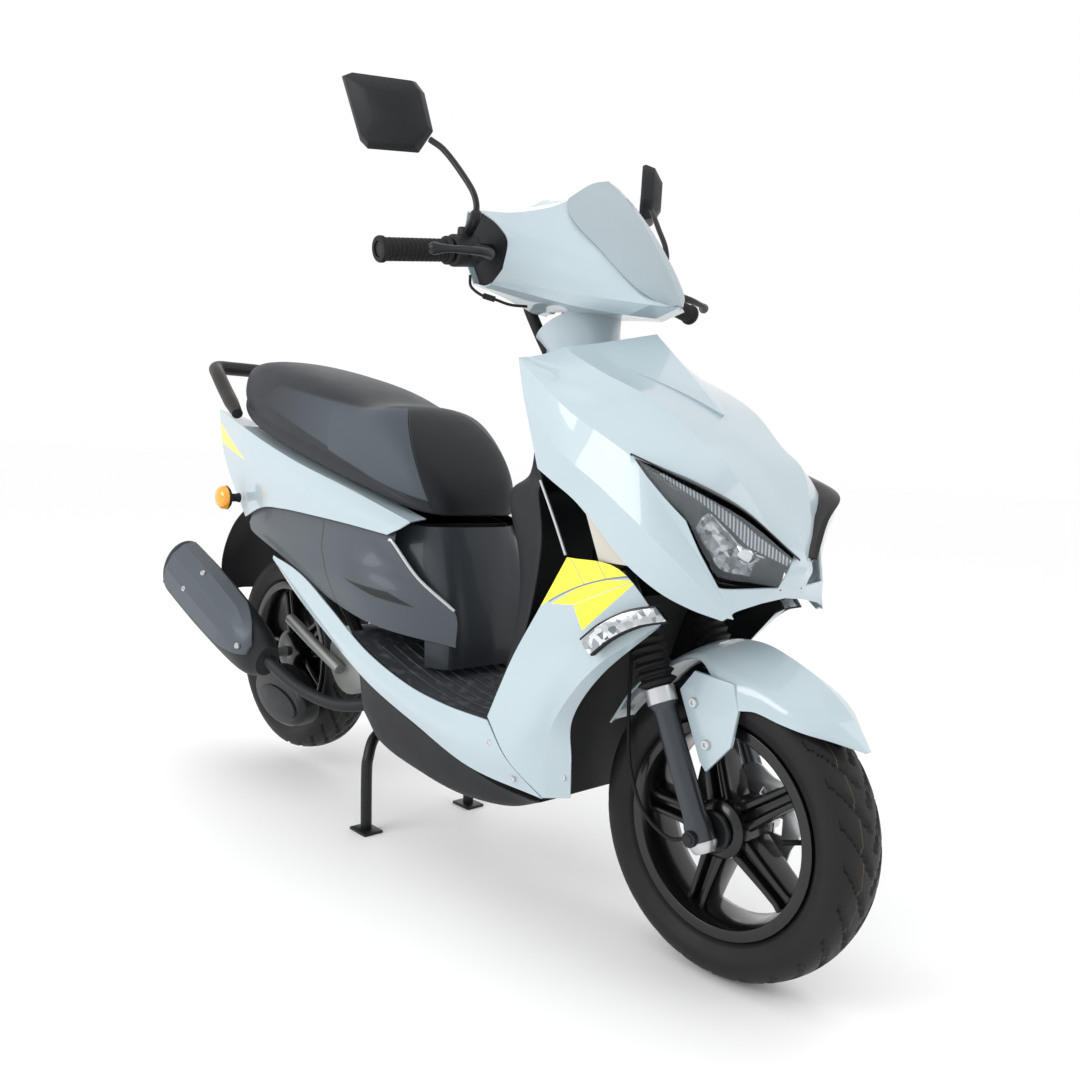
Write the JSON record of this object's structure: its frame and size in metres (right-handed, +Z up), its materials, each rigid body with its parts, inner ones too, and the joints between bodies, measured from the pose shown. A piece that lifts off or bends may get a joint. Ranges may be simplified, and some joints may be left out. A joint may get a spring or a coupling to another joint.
{
  "type": "moped scooter",
  "caption": "Step-through moped scooter on its centre stand, with faired front, stepped seat, telescopic fork and a swinging engine unit.",
  "frame": {"origin": "middle of the scooter's bounding box, on the ground it stands on", "axes": "+X forward, +Y to the rider's left, +Z up"},
  "size_m": [1.8018, 0.7208, 1.314],
  "materials": {
    "paint": "gloss",
    "side_paint": "satin",
    "black_plastic": "matte",
    "mat": "textured",
    "vinyl": "satin",
    "rubber": "matte",
    "tyre": "matte",
    "wheel": "gloss black",
    "silencer": "satin black",
    "fork": "satin black",
    "tube": "satin black",
    "lever": "satin black",
    "steel": "bright",
    "casting": "cast",
    "lamp": "clear",
    "amber": "clear amber",
    "red": "clear red"
  },
  "bodies": {
    "chassis": {"frame": "tube", "front_fairing": "paint", "headlight_unit": "lamp", "front_indicator_right": "lamp", "front_indicator_left": "lamp", "leg_shield_right": "paint", "leg_shield_left": "paint", "inner_leg_shield": "black_plastic", "front_inner_fender": "black_plastic", "floor_board": "mat", "sill_right": "paint", "sill_left": "paint", "belly_panel": "black_plastic", "side_panel_right": "side_paint", "side_panel_left": "side_paint", "tail_panel_right": "paint", "tail_panel_left": "paint", "seat_front_panel": "black_plastic", "storage_box": "black_plastic", "grab_rail": "tube", "tail_light": "red", "rear_indicator_right": "amber", "rear_indicator_left": "amber", "rear_mudguard": "black_plastic"},
    "seat_cushion": {"seat": "vinyl"},
    "steering": {"fork_crown": "tube", "handlebar": "tube", "headset_cover": "paint", "neck_shroud": "paint", "left_grip": "rubber", "switch_pod_right": "black_plastic", "switch_pod_left": "black_plastic", "mirror_stem_right": "tube", "mirror_stem_left": "tube"},
    "throttle": {"throttle_grip": "rubber"},
    "right_lever": {"brake_lever_right": "lever"},
    "left_lever": {"brake_lever_left": "lever"},
    "right_mirror": {"mirror_right": "black_plastic"},
    "left_mirror": {"mirror_left": "black_plastic"},
    "starter": {"start_button": "black_plastic"},
    "horn": {"horn_button": "black_plastic"},
    "fork_lower": {"fork_leg_right": "fork", "fork_leg_left": "fork", "front_axle": "steel", "front_fender": "paint", "brake_caliper": "fork", "gaiter_right": "rubber", "gaiter_left": "rubber", "speedo_cable": "rubber"},
    "front_wheel": {"front_tyre": "tyre", "front_rim": "wheel", "brake_disc": "steel"},
    "swing_unit": {"engine_case": "casting", "muffler": "silencer"},
    "rear_wheel": {"rear_tyre": "tyre", "rear_rim": "wheel"},
    "shock_upper": {"shock_body": "tube", "shock_spring": "tube"},
    "shock_lower": {"shock_rod": "steel"},
    "stand": {"centre_stand": "tube"}
  },
  "joints": [
    {"name": "steer", "type": "hinge", "parent": "chassis", "child": "steering", "pos_m": [0.755, 0, 0], "axis": [-0.4384, 0, 0.8988], "range_deg": [-38, 38]},
    {"name": "fork_travel", "type": "slide", "parent": "steering", "child": "fork_lower", "axis": [-0.4384, 0, 0.8988], "range_m": [0, 0.055], "stiffness_N_per_m": 9000, "springref_m": -0.06},
    {"name": "front_wheel_spin", "type": "hinge", "parent": "fork_lower", "child": "front_wheel", "pos_m": [0.672, 0, 0.2294], "axis": [0, 1, 0], "continuous": true},
    {"name": "rear_swing", "type": "hinge", "parent": "chassis", "child": "swing_unit", "pos_m": [-0.103, 0, 0.325], "axis": [0, 1, 0], "range_deg": [0, 8], "stiffness_Nm_per_rad": 2500, "springref_deg": -5.73},
    {"name": "rear_wheel_spin", "type": "hinge", "parent": "swing_unit", "child": "rear_wheel", "pos_m": [-0.587, 0, 0.2695], "axis": [0, 1, 0], "continuous": true},
    {"name": "shock_tilt", "type": "hinge", "parent": "chassis", "child": "shock_upper", "pos_m": [-0.44, 0.105, 0.575], "axis": [0, 1, 0], "range_deg": [0, 4.89]},
    {"name": "shock_stroke", "type": "slide", "parent": "shock_upper", "child": "shock_lower", "axis": [0.4053, 0, 0.9142], "range_m": [0, 0.0582], "deforming": ["shock_spring"]},
    {"name": "stand_fold", "type": "hinge", "parent": "chassis", "child": "stand", "pos_m": [-0.149, 0, 0.195], "axis": [0, 1, 0], "range_deg": [0, 80]},
    {"name": "seat_hinge", "type": "hinge", "parent": "chassis", "child": "seat_cushion", "pos_m": [0.048, 0, 0.626], "axis": [0, 1, 0], "range_deg": [0, 60]},
    {"name": "throttle_twist", "type": "hinge", "parent": "steering", "child": "throttle", "pos_m": [0.24, -0.16, 1.07], "axis": [-0.0789, -0.9859, -0.1479], "range_deg": [0, 75], "stiffness_Nm_per_rad": 0.25, "springref_deg": -17.19},
    {"name": "right_lever_pull", "type": "hinge", "parent": "steering", "child": "right_lever", "pos_m": [0.28953, -0.20338, 1.05349], "axis": [0, 0, -1], "range_deg": [0, 14], "stiffness_Nm_per_rad": 1.5, "springref_deg": -8.59},
    {"name": "left_lever_pull", "type": "hinge", "parent": "steering", "child": "left_lever", "pos_m": [0.28953, 0.20338, 1.05349], "axis": [0, 0, 1], "range_deg": [0, 14], "stiffness_Nm_per_rad": 1.5, "springref_deg": -8.59},
    {"name": "right_mirror_turn", "type": "hinge", "parent": "steering", "child": "right_mirror", "pos_m": [0.196, -0.252, 1.226], "axis": [0, 0, 1], "range_deg": [-20, 20]},
    {"name": "left_mirror_turn", "type": "hinge", "parent": "steering", "child": "left_mirror", "pos_m": [0.196, 0.252, 1.226], "axis": [0, 0, 1], "range_deg": [-20, 20]},
    {"name": "start_press", "type": "slide", "parent": "steering", "child": "starter", "axis": [1, 0, 0], "range_m": [0, 0.003], "stiffness_N_per_m": 800, "springref_m": -0.002},
    {"name": "horn_press", "type": "slide", "parent": "steering", "child": "horn", "axis": [1, 0, 0], "range_m": [0, 0.003], "stiffness_N_per_m": 800, "springref_m": -0.002}
  ],
  "couplings": [
    {"joint": "shock_tilt", "follows": "rear_swing", "ratio": 0.5859},
    {"joint": "shock_stroke", "follows": "rear_swing", "m_per_rad": 0.4094}
  ]
}
